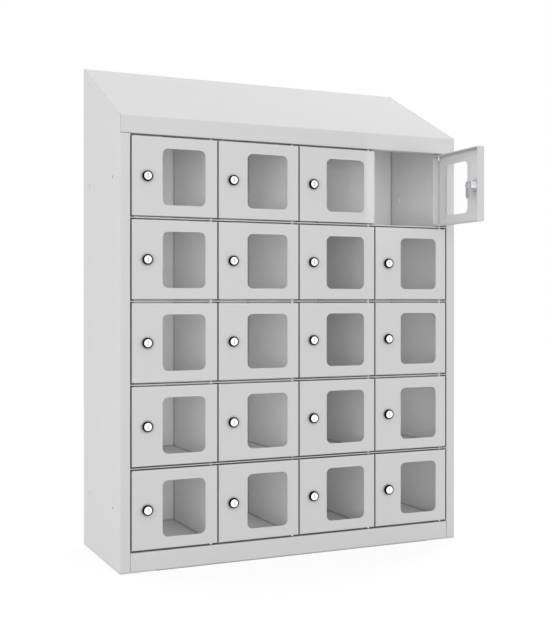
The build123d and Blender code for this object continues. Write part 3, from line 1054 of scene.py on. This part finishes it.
class LOCKER_OT_add_lock_plugs(bpy.types.Operator):
    """Add the turning plug of every lock, with its cam and the cam's screw"""

    bl_idname = "locker.add_lock_plugs"
    bl_label = "Add Lock Plugs"

    def execute(self, context):
        sizes = context.scene.locker_locks
        plug, cam, screw = lock_plug(sizes), lock_cam(sizes), cam_screw(sizes)
        for place in PLACES:
            lock = f"lock_{place}"
            add_at_door("lock_plug", plug, place, ["nickel", "slot"], lock, lock)
            add_at_door("lock_cam", cam, place, ["zinc"], lock, lock)
            add_at_door("cam_screw", screw, place, ["zinc"], lock, lock)
        return {"FINISHED"}


class LOCKER_OT_set_up_studio(bpy.types.Operator):
    """Set up the floor, the light and the camera"""

    bl_idname = "locker.set_up_studio"
    bl_label = "Set Up Studio"

    def execute(self, context):
        studio = context.scene.locker_studio
        context.scene.view_settings.view_transform = "Standard"
        self.add_floor(context, studio)
        self.add_sky(context, studio)
        for name, (start, target, size) in STUDIO_LAMPS.items():
            add_lamp(f"{name}_lamp", start, target, size, getattr(studio, f"{name}_light"))
        self.add_door_lamp(studio)
        self.add_compartment_lamps(studio)
        self.add_camera(context, studio)
        return {"FINISHED"}

    def add_floor(self, context, studio):
        """A floor that the camera sees as white, but for the shadow on it."""
        mesh = bmesh.new()
        bmesh.ops.create_grid(mesh, x_segments=1, y_segments=1, size=FLOOR_REACH)
        floor = new_object("studio_floor", finished(mesh, "studio_floor"))
        material, tree, shader = new_material("studio_floor")
        rays, seen = rays_that_see(tree)
        seen = maths(tree, "MULTIPLY", seen, studio.floor_lift)
        gleam = maths(tree, "MULTIPLY", rays["Is Glossy Ray"], studio.floor_gleam)
        feed(tree, shader, {
            "Base Color": (*context.scene.locker_colours.floor, 1.0),
            "Roughness": 0.9,
            "Specular IOR Level": 0.0,
            "Emission Color": WHITE,
            "Emission Strength": maths(tree, "MAXIMUM", seen, gleam),
        })
        material.cycles.emission_sampling = "NONE"
        floor.data.materials.append(material)

    def add_sky(self, context, studio):
        """An even sky, seen as white directly, in reflections and through the panes."""
        world = bpy.data.worlds.new("studio_sky")
        context.scene.world = world
        world.use_nodes = True
        tree = world.node_tree
        rays, seen = rays_that_see(tree)
        seen = maths(tree, "MAXIMUM", seen, rays["Is Glossy Ray"])
        gain = maths(tree, "MULTIPLY", seen, 1.0 - studio.sky)
        whiteness = maths(tree, "ADD", gain, studio.sky)
        feed(tree, tree.nodes["Background"], {"Color": WHITE, "Strength": whiteness})

    def add_door_lamp(self, studio):
        """A soft lamp in front of the doors, facing the inside of the door that stands open."""
        place = next(place for place in PLACES if stands_open(place))
        start = hinge_at(place) + DOOR_LAMP_PLACE
        add_lamp("door_lamp", start, start + Vector((1, 0, 0)), DOOR_LAMP_SIZE, studio.door_light)

    def add_compartment_lamps(self, studio):
        """A soft lamp behind each door, so that the compartments read as clearly as the front."""
        low, high = door_corners()
        to_hinge = hinge_in_door(closed_place())
        middle = Vector(((low.x + high.x) / 2, LAMP_BEHIND_DOOR, 0)) - to_hinge
        size = ((high.x - low.x) * COMPARTMENT_SHARE[0], (high.z - low.z) * COMPARTMENT_SHARE[1])
        for place in PLACES:
            row, column = place[1], place[3]
            share = {TOP_ROW: studio.top_row, LOW_ROW: studio.low_row}.get(row, 1.0)
            if column == DIM_COLUMN and row != TOP_ROW:
                share = studio.dim_column
            start = hinge_at(place) + middle
            inward = start + Vector((0, 1, 0))
            lamp = add_lamp(f"compartment_lamp_{place}", start, inward, size, studio.cell_light * share)
            lamp.data.spread = COMPARTMENT_SPREAD

    def add_camera(self, context, studio):
        """The camera, level, with the frame shifted instead of tilted."""
        data = bpy.data.cameras.new("studio_camera")
        data.lens = studio.lens
        data.shift_x = studio.side_shift
        data.shift_y = studio.lens_shift
        camera = new_object("studio_camera", data)
        camera.location = studio.camera_place
        camera.rotation_euler = (math.radians(90), 0, -studio.camera_heading)
        context.scene.camera = camera


def rays_that_see(tree):
    """The kinds of ray, and 1 for a ray from the camera, direct or through a pane."""
    rays = add_node(tree, "ShaderNodeLightPath").outputs
    return rays, maths(tree, "MAXIMUM", rays["Is Camera Ray"], rays["Is Transmission Ray"])


def add_lamp(name, start, target, size, radiance):
    """A rectangular lamp of an even radiance that shows in nothing but the light it gives."""
    data = bpy.data.lights.new(name, "AREA")
    data.shape = "RECTANGLE"
    data.size, data.size_y = size
    data.energy = math.pi * size[0] * size[1] * radiance
    lamp = new_object(name, data)
    aim = (Vector(target) - Vector(start)).to_track_quat("-Z", "Y")
    lamp.matrix_world = Matrix.Translation(start) @ aim.to_matrix().to_4x4()
    lamp.visible_camera = lamp.visible_glossy = lamp.visible_transmission = False
    return lamp


OPERATORS = (
    LOCKER_OT_finish_carcass,
    LOCKER_OT_add_hinge_pins,
    LOCKER_OT_add_doors,
    LOCKER_OT_add_panes,
    LOCKER_OT_add_lock_housings,
    LOCKER_OT_add_lock_plugs,
    LOCKER_OT_set_up_studio,
)
SETTINGS = {
    "locker_doors": LockerDoorSizes,
    "locker_locks": LockerLockSizes,
    "locker_colours": LockerColours,
    "locker_studio": LockerStudio,
}


class LOCKER_PT_sidebar(bpy.types.Panel):
    """The steps and settings of the locker"""

    bl_idname = "LOCKER_PT_sidebar"
    bl_label = "Phone Locker"
    bl_space_type = "VIEW_3D"
    bl_region_type = "UI"
    bl_category = "Locker"

    def draw(self, context):
        for operator in OPERATORS:
            self.layout.operator(operator.bl_idname)
        for attribute in SETTINGS:
            settings = getattr(context.scene, attribute)
            box = self.layout.box()
            for name in settings.__annotations__:
                box.prop(settings, name)


def register():
    """Registers the settings, the operators and the panel."""
    for attribute, settings in SETTINGS.items():
        bpy.utils.register_class(settings)
        setattr(bpy.types.Scene, attribute, PointerProperty(type=settings))
    for operator in OPERATORS:
        bpy.utils.register_class(operator)
    bpy.utils.register_class(LOCKER_PT_sidebar)


def unregister():
    """Takes away what register added."""
    bpy.utils.unregister_class(LOCKER_PT_sidebar)
    for operator in reversed(OPERATORS):
        bpy.utils.unregister_class(operator)
    for attribute, settings in reversed(SETTINGS.items()):
        delattr(bpy.types.Scene, attribute)
        bpy.utils.unregister_class(settings)


def main():
    """Builds every piece and the studio."""
    register()
    for operator in OPERATORS:
        getattr(bpy.ops.locker, operator.bl_idname.removeprefix("locker."))()


if __name__ == "__main__":
    main()
